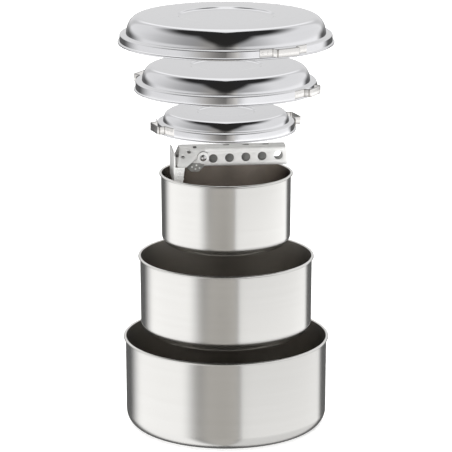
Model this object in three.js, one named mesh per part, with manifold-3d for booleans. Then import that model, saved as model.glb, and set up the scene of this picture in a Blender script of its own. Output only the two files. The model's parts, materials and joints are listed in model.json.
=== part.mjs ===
// Nesting stainless steel cook set, shown lifted apart along its common upright axis:
// three pots, three lids with welded strap loops, and a folding aluminium pot lifter.
// Millimetres, +Z up, origin on the centre of the large pot's base.
import * as THREE from 'three';
import { mergeVertices } from 'three/addons/utils/BufferGeometryUtils.js';
import Module from 'manifold-3d';

const wasm = await Module();
wasm.setup();

// ---- shared sheet sizes ----
const SEGMENTS = 36; // facets round every turned piece
const POT_WALL = 0.8;
const POT_DRAFT = 0.5; // how much narrower a pot's wall is at its foot
const RIM_OUT = 2.0; // how far a pot's rolled rim stands out from its wall
const RIM_RADIUS = 1.1;
const RIM_NECK = 0.4; // height over which a pot's wall flares into its rim
const RIM_LIP = 1; // rounding of the rim's inner edge
const LID_WALL = 0.7;
const LID_CLEARANCE = 0.5; // between a rolled rim and the lid skirt that passes over it
const TOUCH_GAP = 0.3; // between fixed pieces that meet

// ---- pots ----
const LARGE_POT_RADIUS = 102.9;
const LARGE_POT_HEIGHT = 93;
const MEDIUM_NEST_GAP = 14.7; // ring between the large pot's inside and the medium pot
const SMALL_NEST_GAP = 21.0;
const MEDIUM_HEIGHT_STEP = 13.5; // how much lower each pot is than the one it nests in
const SMALL_HEIGHT_STEP = 6.0;
const LARGE_POT_CORNER = 15;
const MEDIUM_POT_CORNER = 12;
const SMALL_POT_CORNER = 10;

// ---- lids ----
const LARGE_SKIRT = 9.2; // from the hem's underside to the ledge
const MEDIUM_SKIRT = 9.5;
const SMALL_SKIRT = 8.7;
const LARGE_DOME = 18.0; // from the ledge to the crown's edge
const MEDIUM_DOME = 15.0;
const SMALL_DOME = 9.9;
const LARGE_LEDGE = 6.6; // width of the ledge that rests on the pot's rim
const MEDIUM_LEDGE = 6.6;
const SMALL_LEDGE = 5.6;
const DOME_SHOULDER = 0.72; // inward reach of the rounded dome side, for each millimetre it rises
const CROWN_RISE = 0.6;
const RECESS_DEPTH = 2;
const RECESS_STEP = 2.6; // steep outer part of the recess's edge, and the shallow part inside it
const RECESS_STEP_DROP = 1.65;
const RECESS_RAMP = 7.4;
const LEDGE_ROUNDING = 1;
const HEM_NECK = 0.3;
const LARGE_RECESS_RADIUS = 48.7;
const MEDIUM_RECESS_RADIUS = 36.6;
const SMALL_RECESS_RADIUS = 30;
const LARGE_HEM = { out: 2.0, radius: 1.1 };
const SLIM_HEM = { out: 1.6, radius: 0.8 };

// ---- strap loops on the lids ----
const STRAP_HEIGHT = 8.0;
const STRAP_THICKNESS = 1.0;
const LOOP_REACH = 6.5; // clear space between the skirt and the outer bar
const LOOP_WIDTH = 25.5;
const LOOP_TAB = 12;
const LOOP_BEND = 2.2;
const LARGE_LOOP_AZIMUTH = 302;
const MEDIUM_LOOP_AZIMUTH = 334.5;
const SMALL_LOOP_AZIMUTH = 200;

// ---- gaps of the lifted-apart layout, from one piece's top to the next one's underside ----
const GAP_ABOVE_LARGE_POT = 5;
const GAP_ABOVE_MEDIUM_POT = 12.5;
const GAP_ABOVE_SMALL_POT = 44;
const GAP_ABOVE_SMALL_LID = 21.4;
const GAP_ABOVE_MEDIUM_LID = 22.4;

// ---- pot lifter, measured from its pivot pin ----
const LIFTER_YAW = 6;
const LIFTER_SHEET = 1.4;
const LIFTER_PIVOT_ABOVE_POT = 16.9;
const HANDLE_TO_WALL = 3.8; // packed in the small pot, from the handle's end to the wall
const JAW_TO_WALL = 10.1;
const UPPER_HALF_WIDTH = 10;
const ARM_CLEARANCE = 0.4; // each side, where one arm nests in the other
const UPPER_TOP = 10.7;
const UPPER_FLANGE_FOOT = 6.1;
const UPPER_SHORTER = 1.5; // how far the upper handle stops before the lower one
const LOWER_TOP = 6.8;
const LOWER_BOTTOM = -9.6;
const LOWER_ROUNDING = 4; // outside bends of each arm's channel
const UPPER_ROUNDING = 4.5;
const HANDLE_END_ROUNDING = 2;
const NECK_SLOPE = 3;
const EAR_RADIUS = 6;
const EAR_PROUD = 1.4; // the lower arm's ears stand out past the upper arm's sides
const EAR_NOTCH_CLEARANCE = 1;
const TONGUE_RADIUS = 5;
const PIN_RADIUS = 2.2;
const PIN_CLEARANCE = 0.3;
const PIN_HEAD_RADIUS = 3.4;
const PIN_HEAD_HEIGHT = 1.6;
const GRIP_HOLE_RADIUS = 4.5;
const GRIP_HOLE_COUNT = 5;
const GRIP_HOLE_FIRST = { x: 10.4, z: -1.5 };
const GRIP_HOLE_RISE = 0.5; // the row climbs this much from one hole to the next
const GRIP_HOLE_END = 8.8; // from the last hole's middle to the handle's end
const CUT_DEPTH = 8; // of the tools that cut holes, several times the sheet
const TOP_SLOT = { length: 7, width: 4, firstX: 24.2, end: 21, count: 3 };
const HEAD_RIDGE = 23.3; // from the pivot to the free end of the head's ridge
const HEAD_TIP = 27; // and to its sloping sides' far corners
const HEAD_TIP_WIDTH = 9;
const HEAD_SIDE_RUN = 15.1; // outward spread of each sloping side of the head
const HEAD_SIDE_DROP = 15.3;
const HEAD_BACK = { top: 4, x: -1, down: 6 }; // the sloping side's corners near the pivot
const HEAD_HOLE = { radius: 2.1, count: 3, first: [-8, -2.4], step: [-6.2, 6.1] };
const JAW_GAP = 2.1; // between the head's far corners and the jaw plate
const JAW_SIDE_CLEARANCE = 0.7; // between the head's sides and the jaw plate's lips
const JAW_TOP = 7;
const JAW_BOTTOM = -22.8;
const JAW_LIP_TOP = -6;
const JAW_LIP_LENGTH = 9.5;
const JAW_LIP_SLANT = 2.5;
const JAW_NECK_HEIGHT = 10;
const CHEEK = { start: -17, end: 1, slope: 4.5, bottom: -14.4 }; // stop plates under the pivot

const steel = new THREE.MeshStandardMaterial({ color: 0xc9c9c6, roughness: 0.28, metalness: 1 });
const strapSteel = new THREE.MeshStandardMaterial({ color: 0xd4d3cf, roughness: 0.35, metalness: 1 });
const aluminium = new THREE.MeshStandardMaterial({ color: 0xb9bab4, roughness: 0.5, metalness: 1 });

const set = new THREE.Group();
const radians = THREE.MathUtils.degToRad;

// ---------- helpers ----------
function addMesh(parent, name, geometry, material) {
  const mesh = new THREE.Mesh(geometry, material.clone());
  mesh.name = name;
  parent.add(mesh);
  return mesh;
}

function arc(cx, cy, radius, startDegrees, endDegrees, steps) {
  const points = [];
  for (let i = 0; i <= steps; i++) {
    const angle = radians(startDegrees + ((endDegrees - startDegrees) * i) / steps);
    points.push(new THREE.Vector2(cx + radius * Math.cos(angle), cy + radius * Math.sin(angle)));
  }
  return points;
}

function turned(profile) {
  return new THREE.LatheGeometry(profile, SEGMENTS).rotateX(Math.PI / 2);
}

function extruded(outline, depth) {
  return new THREE.ExtrudeGeometry(new THREE.Shape(outline), { depth, bevelEnabled: false });
}

function toSolid(geometry) {
  const bare = geometry.clone();
  bare.deleteAttribute('normal');
  bare.deleteAttribute('uv');
  const merged = mergeVertices(bare, 1e-4);
  const mesh = new wasm.Mesh({
    numProp: 3,
    vertProperties: new Float32Array(merged.attributes.position.array),
    triVerts: new Uint32Array(merged.index.array),
  });
  return new wasm.Manifold(mesh);
}

function toGeometry(solid) {
  const mesh = solid.getMesh();
  const geometry = new THREE.BufferGeometry();
  geometry.setAttribute('position', new THREE.BufferAttribute(mesh.vertProperties, 3));
  geometry.setIndex(new THREE.BufferAttribute(mesh.triVerts, 1));
  geometry.computeVertexNormals();
  return geometry;
}

// Parallel copy of an open outline, moved to its left by the given distance.
function offsetPath(points, distance) {
  return points.map((point, i) => {
    const before = points[Math.max(i - 1, 0)];
    const after = points[Math.min(i + 1, points.length - 1)];
    const one = point.clone().sub(before);
    const two = after.clone().sub(point);
    const first = one.length() > 0 ? one.normalize() : two.clone().normalize();
    const second = two.length() > 0 ? two.normalize() : first.clone();
    const normal = new THREE.Vector2(-first.y - second.y, first.x + second.x).normalize();
    const stretch = distance / Math.max(normal.dot(new THREE.Vector2(-second.y, second.x)), 0.5);
    return point.clone().addScaledVector(normal, stretch);
  });
}

// ---------- pots ----------
// Outline from the outside of the base, up the wall, over the rolled rim and down inside.
function potProfile({ radius, height, corner }) {
  const foot = radius - POT_DRAFT;
  const rim = arc(radius + RIM_OUT - RIM_RADIUS, height - RIM_RADIUS, RIM_RADIUS, -80, 80, 4);
  return [
    new THREE.Vector2(0, 0),
    ...arc(foot - corner, corner, corner, -90, 0, 5),
    new THREE.Vector2(radius, height - 2 * RIM_RADIUS - RIM_NECK),
    ...rim,
    new THREE.Vector2(radius - POT_WALL + RIM_LIP / 2, height - RIM_LIP / 10),
    new THREE.Vector2(radius - POT_WALL, height - RIM_LIP),
    ...arc(foot - corner, corner, corner - POT_WALL, 0, -90, 5),
    new THREE.Vector2(0, POT_WALL),
  ];
}

const largePot = {
  radius: LARGE_POT_RADIUS,
  height: LARGE_POT_HEIGHT,
  corner: LARGE_POT_CORNER,
  base: 0,
};
const mediumPot = {
  radius: largePot.radius - POT_WALL - MEDIUM_NEST_GAP,
  height: largePot.height - MEDIUM_HEIGHT_STEP,
  corner: MEDIUM_POT_CORNER,
  base: largePot.height + GAP_ABOVE_LARGE_POT,
};
const smallPot = {
  radius: mediumPot.radius - POT_WALL - SMALL_NEST_GAP,
  height: mediumPot.height - SMALL_HEIGHT_STEP,
  corner: SMALL_POT_CORNER,
  base: mediumPot.base + mediumPot.height + GAP_ABOVE_MEDIUM_POT,
};

function addPot(name, pot) {
  addMesh(set, name, turned(potProfile(pot)), steel).position.z = pot.base;
}

// ---------- lids ----------
// Each lid's skirt passes over its own pot's rolled rim; its ledge rests on that rim.
function makeLid(pot, { skirt, dome, ledge, recess, hem, base }) {
  const skirtRadius = pot.radius + RIM_OUT + LID_CLEARANCE + LID_WALL;
  return { skirt, dome, ledge, recess, hem, base, skirtRadius, height: skirt + dome + CROWN_RISE };
}

// Outer surface from the middle of the crown, down the dome and skirt, to the hem.
function lidOuterPath(lid) {
  const domeFoot = lid.skirtRadius - lid.ledge;
  const shoulder = DOME_SHOULDER * lid.dome;
  const crownZ = lid.skirt + lid.dome;
  const side = arc(0, 0, 1, 80, 0, 4).map(
    (point) => new THREE.Vector2(domeFoot - shoulder * (1 - point.x), lid.skirt + lid.dome * point.y),
  );
  return [
    new THREE.Vector2(0, crownZ + CROWN_RISE - RECESS_DEPTH),
    new THREE.Vector2(lid.recess - RECESS_STEP - RECESS_RAMP, crownZ + CROWN_RISE - RECESS_DEPTH),
    new THREE.Vector2(lid.recess - RECESS_STEP, crownZ + CROWN_RISE - RECESS_STEP_DROP),
    new THREE.Vector2(lid.recess, crownZ + CROWN_RISE),
    new THREE.Vector2(domeFoot - shoulder, crownZ),
    ...side,
    new THREE.Vector2(lid.skirtRadius - LEDGE_ROUNDING, lid.skirt),
    new THREE.Vector2(lid.skirtRadius, lid.skirt - LEDGE_ROUNDING),
    new THREE.Vector2(lid.skirtRadius, 2 * lid.hem.radius + HEM_NECK),
  ];
}

function lidProfile(lid) {
  const outer = lidOuterPath(lid);
  const inner = offsetPath(outer, -LID_WALL);
  inner[0].x = 0;
  const innerRadius = lid.skirtRadius - LID_WALL;
  const hemCentre = lid.skirtRadius + lid.hem.out - lid.hem.radius;
  const hem = arc(hemCentre, lid.hem.radius, lid.hem.radius, 80, -90, 3);
  const profile = [...outer, ...hem, new THREE.Vector2(innerRadius, 0), ...inner.reverse()];
  return profile.reverse();
}

const smallLid = makeLid(smallPot, {
  skirt: SMALL_SKIRT,
  dome: SMALL_DOME,
  ledge: SMALL_LEDGE,
  recess: SMALL_RECESS_RADIUS,
  hem: SLIM_HEM,
  base: smallPot.base + smallPot.height + GAP_ABOVE_SMALL_POT,
});
const mediumLid = makeLid(mediumPot, {
  skirt: MEDIUM_SKIRT,
  dome: MEDIUM_DOME,
  ledge: MEDIUM_LEDGE,
  recess: MEDIUM_RECESS_RADIUS,
  hem: SLIM_HEM,
  base: smallLid.base + smallLid.height + GAP_ABOVE_SMALL_LID,
});
const largeLid = makeLid(largePot, {
  skirt: LARGE_SKIRT,
  dome: LARGE_DOME,
  ledge: LARGE_LEDGE,
  recess: LARGE_RECESS_RADIUS,
  hem: LARGE_HEM,
  base: mediumLid.base + mediumLid.height + GAP_ABOVE_MEDIUM_LID,
});

function addLid(name, lid) {
  addMesh(set, name, turned(lidProfile(lid)), steel).position.z = lid.base;
}

// ---------- strap loops ----------
// Half of the strap's centre line in plan: weld tab along the skirt, leg, bend, outer bar.
function halfLoopPath(lid) {
  const tabRadius = lid.skirtRadius + TOUCH_GAP + STRAP_THICKNESS / 2;
  const legY = LOOP_WIDTH / 2;
  const barX = lid.skirtRadius + LOOP_REACH + STRAP_THICKNESS / 2;
  const legAngle = THREE.MathUtils.radToDeg(Math.asin((legY + LOOP_BEND) / tabRadius));
  const tabAngle = THREE.MathUtils.radToDeg(LOOP_TAB / tabRadius);
  const tabFoot = tabRadius * Math.cos(radians(legAngle));
  return [
    ...arc(0, 0, tabRadius, legAngle + tabAngle, legAngle, 4),
    ...arc(tabFoot + LOOP_BEND, legY + LOOP_BEND, LOOP_BEND, -150, -95, 3),
    ...arc(barX - LOOP_BEND, legY - LOOP_BEND, LOOP_BEND, 90, 0, 4),
  ];
}

function loopGeometry(lid) {
  const half = halfLoopPath(lid);
  const mirrored = half.map((point) => new THREE.Vector2(point.x, -point.y)).reverse();
  const centre = [...half, ...mirrored];
  const outline = [
    ...offsetPath(centre, STRAP_THICKNESS / 2),
    ...offsetPath(centre, -STRAP_THICKNESS / 2).reverse(),
  ];
  return extruded(outline, STRAP_HEIGHT);
}

function addLoops(name, lid, azimuth) {
  const sides = { front: azimuth, back: azimuth + 180 };
  for (const [side, degrees] of Object.entries(sides)) {
    const loop = addMesh(set, `${name}_loop_${side}`, loopGeometry(lid), strapSteel);
    loop.position.z = lid.base + 2 * lid.hem.radius + TOUCH_GAP;
    loop.rotation.z = radians(degrees);
  }
}

// ---------- pot lifter ----------
// Drawn with x along the handles, y across them and z up, measured from the pivot pin.
const potInside = smallPot.radius - POT_WALL;
const jawX = -HEAD_TIP - JAW_GAP;
const pivotX = JAW_TO_WALL - potInside + LIFTER_SHEET - jawX;
const handleEnd = potInside - HANDLE_TO_WALL - pivotX;
const gripHolePitch = (handleEnd - GRIP_HOLE_END - GRIP_HOLE_FIRST.x) / (GRIP_HOLE_COUNT - 1);
const topSlotPitch = (handleEnd - TOP_SLOT.end - TOP_SLOT.firstX) / (TOP_SLOT.count - 1);
const earOut = UPPER_HALF_WIDTH + EAR_PROUD;
const headSlope = Math.atan2(HEAD_SIDE_DROP, HEAD_SIDE_RUN);
const roundingCentre = { y: UPPER_HALF_WIDTH - UPPER_ROUNDING, z: UPPER_TOP - UPPER_ROUNDING };
const headHalfWidth = roundingCentre.y + UPPER_ROUNDING * Math.sin(headSlope) + HEAD_SIDE_RUN;
const jawHalfWidth = headHalfWidth + JAW_SIDE_CLEARANCE + LIFTER_SHEET;
const lowerHalfWidth = UPPER_HALF_WIDTH - LIFTER_SHEET - ARM_CLEARANCE;
const tongueHalfWidth = lowerHalfWidth - LIFTER_SHEET - ARM_CLEARANCE;

// Solid of an outline drawn in the side view (x, z), spanning the given stretch of y.
function sideExtrusion(outline, yMin, yMax) {
  const geometry = extruded(outline, yMax - yMin).rotateX(Math.PI / 2);
  return toSolid(geometry.translate(0, yMax, 0));
}

// The same outline on both sides of the lifter, from y = inner to y = outer.
function pairedPlates(outline, inner, outer) {
  return sideExtrusion(outline, inner, outer).add(sideExtrusion(outline, -outer, -inner));
}

// Solid of an outline drawn in the end view (y, z), spanning x from start to end.
function lengthExtrusion(outline, start, end) {
  const geometry = extruded(outline, end - start).rotateX(Math.PI / 2).rotateZ(Math.PI / 2);
  return toSolid(geometry.translate(start, 0, 0));
}

// Tool that cuts the pivot pin's bore through an arm.
function pinBore() {
  const radius = PIN_RADIUS + PIN_CLEARANCE;
  return toSolid(new THREE.CylinderGeometry(radius, radius, 4 * UPPER_HALF_WIDTH, 16));
}

// Open sheet section of the given half width; rounding turns its two corners.
function channelSection(halfWidth, web, lips, rounding) {
  const turn = Math.sign(lips - web);
  const corner = arc(halfWidth - rounding, web + turn * rounding, rounding, -90 * turn, 0, 4);
  const right = [...corner, new THREE.Vector2(halfWidth, lips)];
  const left = right.map((point) => new THREE.Vector2(-point.x, point.y)).reverse();
  const outer = [...left, ...right];
  return [...outer, ...offsetPath(outer, turn * LIFTER_SHEET).reverse()];
}

function lowerSideOutline() {
  const neckTop = LOWER_BOTTOM + JAW_NECK_HEIGHT;
  return [
    new THREE.Vector2(jawX, LOWER_BOTTOM),
    new THREE.Vector2(handleEnd, LOWER_BOTTOM),
    new THREE.Vector2(handleEnd, LOWER_TOP),
    new THREE.Vector2(EAR_RADIUS, LOWER_TOP),
    ...arc(0, 0, EAR_RADIUS, 45, 180, 5),
    new THREE.Vector2(-EAR_RADIUS - NECK_SLOPE, neckTop),
    new THREE.Vector2(jawX, neckTop),
  ];
}

// Five holes in the near side of the lower arm; only the last one goes through the far side too.
function gripHoles() {
  let holes = null;
  for (let i = 0; i < GRIP_HOLE_COUNT; i++) {
    const circle = arc(
      GRIP_HOLE_FIRST.x + i * gripHolePitch,
      GRIP_HOLE_FIRST.z + i * GRIP_HOLE_RISE,
      GRIP_HOLE_RADIUS,
      0,
      337.5,
      15,
    );
    const reach = i === GRIP_HOLE_COUNT - 1 ? UPPER_HALF_WIDTH : 0;
    const hole = sideExtrusion(circle, -UPPER_HALF_WIDTH, reach);
    holes = holes ? holes.add(hole) : hole;
  }
  return holes;
}

// Upright plate that hooks over a pot's edge, with a side lip turned back at each end.
function jawPlate() {
  const back = jawX - LIFTER_SHEET;
  const plate = [
    new THREE.Vector2(back, JAW_BOTTOM),
    new THREE.Vector2(jawX, JAW_BOTTOM),
    new THREE.Vector2(jawX, JAW_TOP),
    new THREE.Vector2(back, JAW_TOP),
  ];
  const lip = [
    new THREE.Vector2(back, JAW_BOTTOM),
    new THREE.Vector2(jawX + JAW_LIP_LENGTH - JAW_LIP_SLANT, JAW_BOTTOM),
    new THREE.Vector2(jawX + JAW_LIP_LENGTH, JAW_LIP_TOP),
    new THREE.Vector2(back, JAW_LIP_TOP),
  ];
  const lips = pairedPlates(lip, jawHalfWidth - LIFTER_SHEET, jawHalfWidth);
  return sideExtrusion(plate, -jawHalfWidth, jawHalfWidth).add(lips);
}

// Two plates that hang below the lower arm beside the pivot.
function lowerCheeks() {
  const top = LOWER_BOTTOM + LOWER_ROUNDING;
  const outline = [
    new THREE.Vector2(CHEEK.start, top),
    new THREE.Vector2(CHEEK.start, LOWER_BOTTOM),
    new THREE.Vector2(CHEEK.start + CHEEK.slope, CHEEK.bottom),
    new THREE.Vector2(CHEEK.end - CHEEK.slope, CHEEK.bottom),
    new THREE.Vector2(CHEEK.end, LOWER_BOTTOM),
    new THREE.Vector2(CHEEK.end, top),
  ];
  return pairedPlates(outline, lowerHalfWidth - LIFTER_SHEET, lowerHalfWidth);
}

function lowerArm() {
  const section = channelSection(lowerHalfWidth, LOWER_BOTTOM, LOWER_TOP + 1, LOWER_ROUNDING);
  const channel = lengthExtrusion(section, jawX - LIFTER_SHEET / 2, handleEnd);
  const side = sideExtrusion(lowerSideOutline(), -UPPER_HALF_WIDTH, UPPER_HALF_WIDTH);
  const ears = pairedPlates(arc(0, 0, EAR_RADIUS, 0, 345, 23), lowerHalfWidth - LIFTER_SHEET, earOut);
  const arm = channel.intersect(side).subtract(gripHoles()).add(ears).add(lowerCheeks());
  return toGeometry(arm.subtract(pinBore()).add(jawPlate()));
}

// Side view of the upper arm's channel.
function upperSideOutline() {
  const end = handleEnd - UPPER_SHORTER;
  const rounding = HANDLE_END_ROUNDING;
  return [
    new THREE.Vector2(-HEAD_RIDGE, UPPER_FLANGE_FOOT),
    ...arc(end - rounding, UPPER_FLANGE_FOOT + rounding, rounding, -90, 0, 3),
    new THREE.Vector2(end, UPPER_TOP),
    new THREE.Vector2(-HEAD_RIDGE, UPPER_TOP),
  ];
}

// Tool that cuts a round notch in each side of the upper arm, clear of the lower arm's ears.
function earNotches() {
  const notch = arc(0, 0, EAR_RADIUS + EAR_NOTCH_CLEARANCE, 0, 345, 23);
  return pairedPlates(notch, lowerHalfWidth, 2 * UPPER_HALF_WIDTH);
}

// Inner plates that hang from the upper arm's top and carry the pin.
function upperTongues() {
  const outline = [
    ...arc(0, 0, TONGUE_RADIUS, 180, 360, 8),
    new THREE.Vector2(TONGUE_RADIUS, UPPER_TOP - LIFTER_SHEET / 2),
    new THREE.Vector2(-TONGUE_RADIUS, UPPER_TOP - LIFTER_SHEET / 2),
  ];
  return pairedPlates(outline, tongueHalfWidth - LIFTER_SHEET, tongueHalfWidth);
}

// Turns a body drawn flat (x along the handles, -y down the slope, z out of the sheet) into the
// near side of the head, whose sheet carries on from the rounded edge of the top.
function onHeadSlope(geometry) {
  const inner = UPPER_ROUNDING - LIFTER_SHEET;
  const y = -roundingCentre.y - inner * Math.sin(headSlope);
  const z = roundingCentre.z + inner * Math.cos(headSlope);
  return geometry.rotateX(headSlope).translate(0, y, z);
}

// One side of the head: a flat flared plate.
function headSide() {
  const length = Math.hypot(HEAD_SIDE_RUN, HEAD_SIDE_DROP);
  const outline = [
    new THREE.Vector2(-HEAD_RIDGE, 0),
    new THREE.Vector2(-HEAD_TIP, -length),
    new THREE.Vector2(-HEAD_TIP + HEAD_TIP_WIDTH, -length),
    new THREE.Vector2(HEAD_BACK.x, -HEAD_BACK.down),
    new THREE.Vector2(HEAD_BACK.top, 0),
  ];
  return onHeadSlope(extruded(outline, LIFTER_SHEET));
}

// Row of holes down the near side of the head.
function headHoles() {
  let holes = null;
  for (let i = 0; i < HEAD_HOLE.count; i++) {
    const x = HEAD_HOLE.first[0] + i * HEAD_HOLE.step[0];
    const down = HEAD_HOLE.first[1] + i * HEAD_HOLE.step[1];
    const rod = new THREE.CylinderGeometry(HEAD_HOLE.radius, HEAD_HOLE.radius, CUT_DEPTH, 12);
    const hole = toSolid(onHeadSlope(rod.rotateX(Math.PI / 2).translate(x, -down, 0)));
    holes = holes ? holes.add(hole) : hole;
  }
  return holes;
}

function mirrorY(geometry) {
  const bare = geometry.clone().scale(1, -1, 1);
  bare.deleteAttribute('normal');
  bare.deleteAttribute('uv');
  const mirrored = mergeVertices(bare, 1e-4);
  const index = Array.from(mirrored.index.array);
  for (let i = 0; i < index.length; i += 3) [index[i], index[i + 1]] = [index[i + 1], index[i]];
  mirrored.setIndex(index);
  return mirrored;
}

function topSlots() {
  const half = (TOP_SLOT.length - TOP_SLOT.width) / 2;
  const r = TOP_SLOT.width / 2;
  const outline = [...arc(half, 0, r, -90, 90, 5), ...arc(-half, 0, r, 90, 270, 5)];
  let slots = null;
  for (let i = 0; i < TOP_SLOT.count; i++) {
    const x = TOP_SLOT.firstX + i * topSlotPitch;
    const slot = toSolid(extruded(outline, CUT_DEPTH).translate(x, 0, UPPER_TOP - CUT_DEPTH / 2));
    slots = slots ? slots.add(slot) : slot;
  }
  return slots;
}

function upperArm() {
  const section = channelSection(UPPER_HALF_WIDTH, UPPER_TOP, UPPER_FLANGE_FOOT - 1, UPPER_ROUNDING);
  const channel = lengthExtrusion(section, -HEAD_RIDGE, handleEnd - UPPER_SHORTER);
  const side = sideExtrusion(upperSideOutline(), -UPPER_HALF_WIDTH - 1, UPPER_HALF_WIDTH + 1);
  const head = toSolid(headSide()).add(toSolid(mirrorY(headSide())));
  const arm = channel.intersect(side).add(upperTongues()).add(head);
  const holes = topSlots().add(headHoles()).add(earNotches());
  return toGeometry(arm.subtract(pinBore()).subtract(holes));
}

// Rivet through both arms, with a domed head on each side.
function pivotPin() {
  const headStart = earOut + TOUCH_GAP;
  const dome = arc(0, 0, 1, 0, 90, 3).map(
    (point) => new THREE.Vector2(PIN_HEAD_RADIUS * point.x, headStart + PIN_HEAD_HEIGHT * point.y),
  );
  dome[dome.length - 1].x = 0;
  const half = [new THREE.Vector2(PIN_RADIUS, headStart), ...dome];
  const lower = half.map((point) => new THREE.Vector2(point.x, -point.y)).reverse();
  return new THREE.LatheGeometry([...lower, ...half], 16);
}

function addLifter() {
  const lifter = new THREE.Group();
  lifter.rotation.z = radians(LIFTER_YAW);
  const hinge = new THREE.Group();
  hinge.position.set(pivotX, 0, smallPot.base + smallPot.height + LIFTER_PIVOT_ABOVE_POT);
  addMesh(hinge, 'lifter_upper_arm', upperArm(), aluminium);
  addMesh(hinge, 'lifter_lower_arm', lowerArm(), aluminium);
  addMesh(hinge, 'lifter_pivot_pin', pivotPin(), steel);
  lifter.add(hinge);
  set.add(lifter);
}

addPot('large_pot', largePot);
addPot('medium_pot', mediumPot);
addPot('small_pot', smallPot);
addLid('small_lid', smallLid);
addLid('medium_lid', mediumLid);
addLid('large_lid', largeLid);
addLoops('small_lid', smallLid, SMALL_LOOP_AZIMUTH);
addLoops('medium_lid', mediumLid, MEDIUM_LOOP_AZIMUTH);
addLoops('large_lid', largeLid, LARGE_LOOP_AZIMUTH);
addLifter();

export default set;
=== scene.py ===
# %% [markdown]
# # A nesting camping cook set
# Three stainless steel pots, their three domed lids and a folding aluminium pot lifter float one
# above the other on an upright axis. Thin spun and pressed sheet is all about reflections, so this
# lesson makes every shell as a fine, smooth surface, and then gives the metal a studio to reflect.

import json
import math
import bpy
import bmesh
from mathutils import Matrix, Vector


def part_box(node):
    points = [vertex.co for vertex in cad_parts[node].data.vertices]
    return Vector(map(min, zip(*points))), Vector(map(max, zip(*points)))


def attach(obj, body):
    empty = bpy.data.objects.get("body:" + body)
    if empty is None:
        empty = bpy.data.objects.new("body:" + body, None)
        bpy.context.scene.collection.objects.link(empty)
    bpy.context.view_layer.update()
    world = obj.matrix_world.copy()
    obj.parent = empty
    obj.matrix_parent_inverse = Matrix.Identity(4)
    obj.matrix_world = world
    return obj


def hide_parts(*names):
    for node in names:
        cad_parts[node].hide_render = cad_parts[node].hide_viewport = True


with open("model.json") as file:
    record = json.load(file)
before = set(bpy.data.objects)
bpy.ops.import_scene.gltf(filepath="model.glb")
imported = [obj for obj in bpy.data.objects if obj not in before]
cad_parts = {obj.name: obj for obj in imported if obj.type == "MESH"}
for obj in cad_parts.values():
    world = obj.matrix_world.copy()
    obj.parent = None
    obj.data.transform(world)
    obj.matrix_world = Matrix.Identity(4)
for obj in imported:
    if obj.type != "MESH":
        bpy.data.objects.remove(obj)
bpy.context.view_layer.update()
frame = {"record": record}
MM = 0.001

# %% [markdown]
# ## The camera
# The set is seen from a little above with a long lens, so that the rims are narrow ellipses and
# the walls stay nearly parallel. A long lens is a small angle of view: 190 mm on a 36 mm sensor.

# %% Camera
CAMERA_PLACE = (0, -2.349, 0.8007)
CAMERA_TILT_DOWN = 14.19
CAMERA_LENS = 190.2

camera = bpy.data.objects.new("camera", bpy.data.cameras.new("camera"))
bpy.context.scene.collection.objects.link(camera)
camera.location = CAMERA_PLACE
camera.rotation_euler = (math.radians(90 - CAMERA_TILT_DOWN), 0, 0)
camera.data.lens = CAMERA_LENS
bpy.context.scene.camera = camera
print("camera distance", round(camera.location.length, 3), "m")


# %% [markdown]
# ## Wiring nodes from a script
# Shader trees and geometry trees are built the same way: make a node, set its choices, then fill
# each input with a value or with another node's output. One helper does all three, so that each
# tree below reads as a list of steps.

# %% Node helpers
def add(tree, kind, inputs=None, **choices):
    made = tree.nodes.new(kind)
    for name, value in choices.items():
        setattr(made, name, value)
    for key, value in (inputs or {}).items():
        same = [s for s in made.inputs if s.enabled and s.name == key]
        socket = made.inputs[key] if isinstance(key, int) else same[0]
        if isinstance(value, bpy.types.NodeSocket):
            tree.links.new(value, socket)
        else:
            socket.default_value = value
    return made


def out(made, name=0):
    if isinstance(name, int):
        return [s for s in made.outputs if s.enabled][name]
    return [s for s in made.outputs if s.enabled and s.name == name][0]


def math_node(tree, operation, first, second=0.0, third=0.0, clamp=False):
    inputs = {0: first, 1: second, 2: third}
    return out(add(tree, "ShaderNodeMath", inputs, operation=operation, use_clamp=clamp))


def new_tree(name, kind, inputs, outputs):
    tree = bpy.data.node_groups.new(name, kind)
    for label, socket, value in inputs:
        made = tree.interface.new_socket(label, in_out="INPUT", socket_type=socket)
        if value is not None:
            made.default_value = value
    for label, socket in outputs:
        tree.interface.new_socket(label, in_out="OUTPUT", socket_type=socket)
    return tree, tree.nodes.new("NodeGroupInput"), tree.nodes.new("NodeGroupOutput")


FLOAT = "NodeSocketFloat"
VECTOR = "NodeSocketVector"


# %% [markdown]
# ## Brushed grain, shared by every turned piece
# A pot is polished while it spins, so the fine lines run round it. Along such a line only the
# direction round the axis changes, while the radius and the height stay the same. The group
# therefore feeds a noise with radius and height times a large number, and with the direction
# times a small one: lines that are long one way and a fraction of a millimetre the other.

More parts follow.
